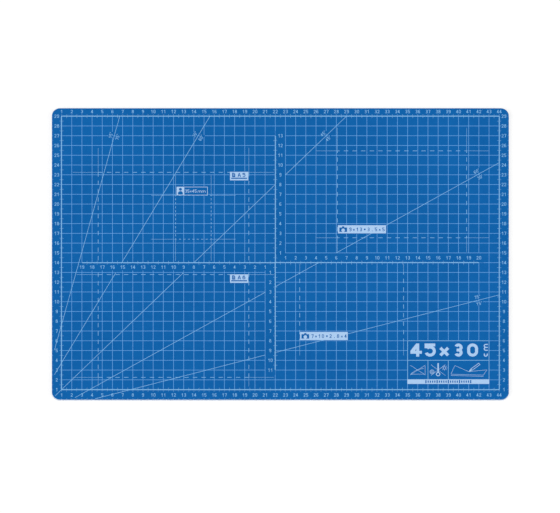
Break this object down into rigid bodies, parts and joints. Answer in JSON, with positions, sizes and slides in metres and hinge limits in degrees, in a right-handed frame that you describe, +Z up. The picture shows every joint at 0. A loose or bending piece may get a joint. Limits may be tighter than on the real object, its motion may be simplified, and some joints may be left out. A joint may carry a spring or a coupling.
{
  "type": "self-healing cutting mat",
  "caption": "Flat layered vinyl cutting mat with rounded corners and a printed centimetre grid, scales, angle lines and paper-size outlines, for knife work on a bench.",
  "frame": {"origin": "centre of the underside's outline, on the surface that the mat lies on", "axes": "+X along the long side, to the right as the numerals are read; +Y towards the back edge, where the numerals' tops point; +Z up, out of the printed face"},
  "size_m": [0.449, 0.2986, 0.003],
  "materials": {
    "blue_skin": "matte",
    "white_ply": "satin",
    "core": "satin",
    "bold_ink": "matte",
    "fine_ink": "matte"
  },
  "bodies": {
    "root": {"top_skin": "blue_skin", "upper_ply": "white_ply", "core_ply": "core", "lower_ply": "white_ply", "bottom_skin": "blue_skin", "grid_lines": "fine_ink", "angle_line_15": "fine_ink", "angle_line_30": "fine_ink", "angle_line_45": "fine_ink", "angle_line_60": "fine_ink", "angle_line_75": "fine_ink", "a5_outline": "fine_ink", "a6_outline": "fine_ink", "id_photo_outline": "fine_ink", "photo_9x13_outline": "fine_ink", "photo_7x10_outline": "fine_ink", "border_scale_back": "bold_ink", "border_scale_front": "bold_ink", "border_scale_left": "bold_ink", "border_scale_right": "bold_ink", "edge_ticks": "bold_ink", "numerals_back": "bold_ink", "numerals_front": "bold_ink", "numerals_left": "bold_ink", "numerals_right": "bold_ink", "centre_scale_left": "bold_ink", "centre_scale_right": "bold_ink", "centre_scale_front": "bold_ink", "centre_scale_back": "bold_ink", "centre_numerals_left": "bold_ink", "centre_numerals_right": "bold_ink", "centre_numerals_front": "bold_ink", "centre_numerals_back": "bold_ink", "angle_labels": "bold_ink", "a5_name_plate": "bold_ink", "a6_name_plate": "bold_ink", "id_photo_plate": "bold_ink", "photo_9x13_plate": "bold_ink", "photo_7x10_plate": "bold_ink", "panel_frame": "bold_ink", "panel_band": "bold_ink", "size_mark": "bold_ink", "size_unit": "bold_ink", "keep_flat_symbol": "bold_ink", "keep_cool_symbol": "bold_ink", "knife_symbol": "bold_ink"}
  },
  "joints": []
}
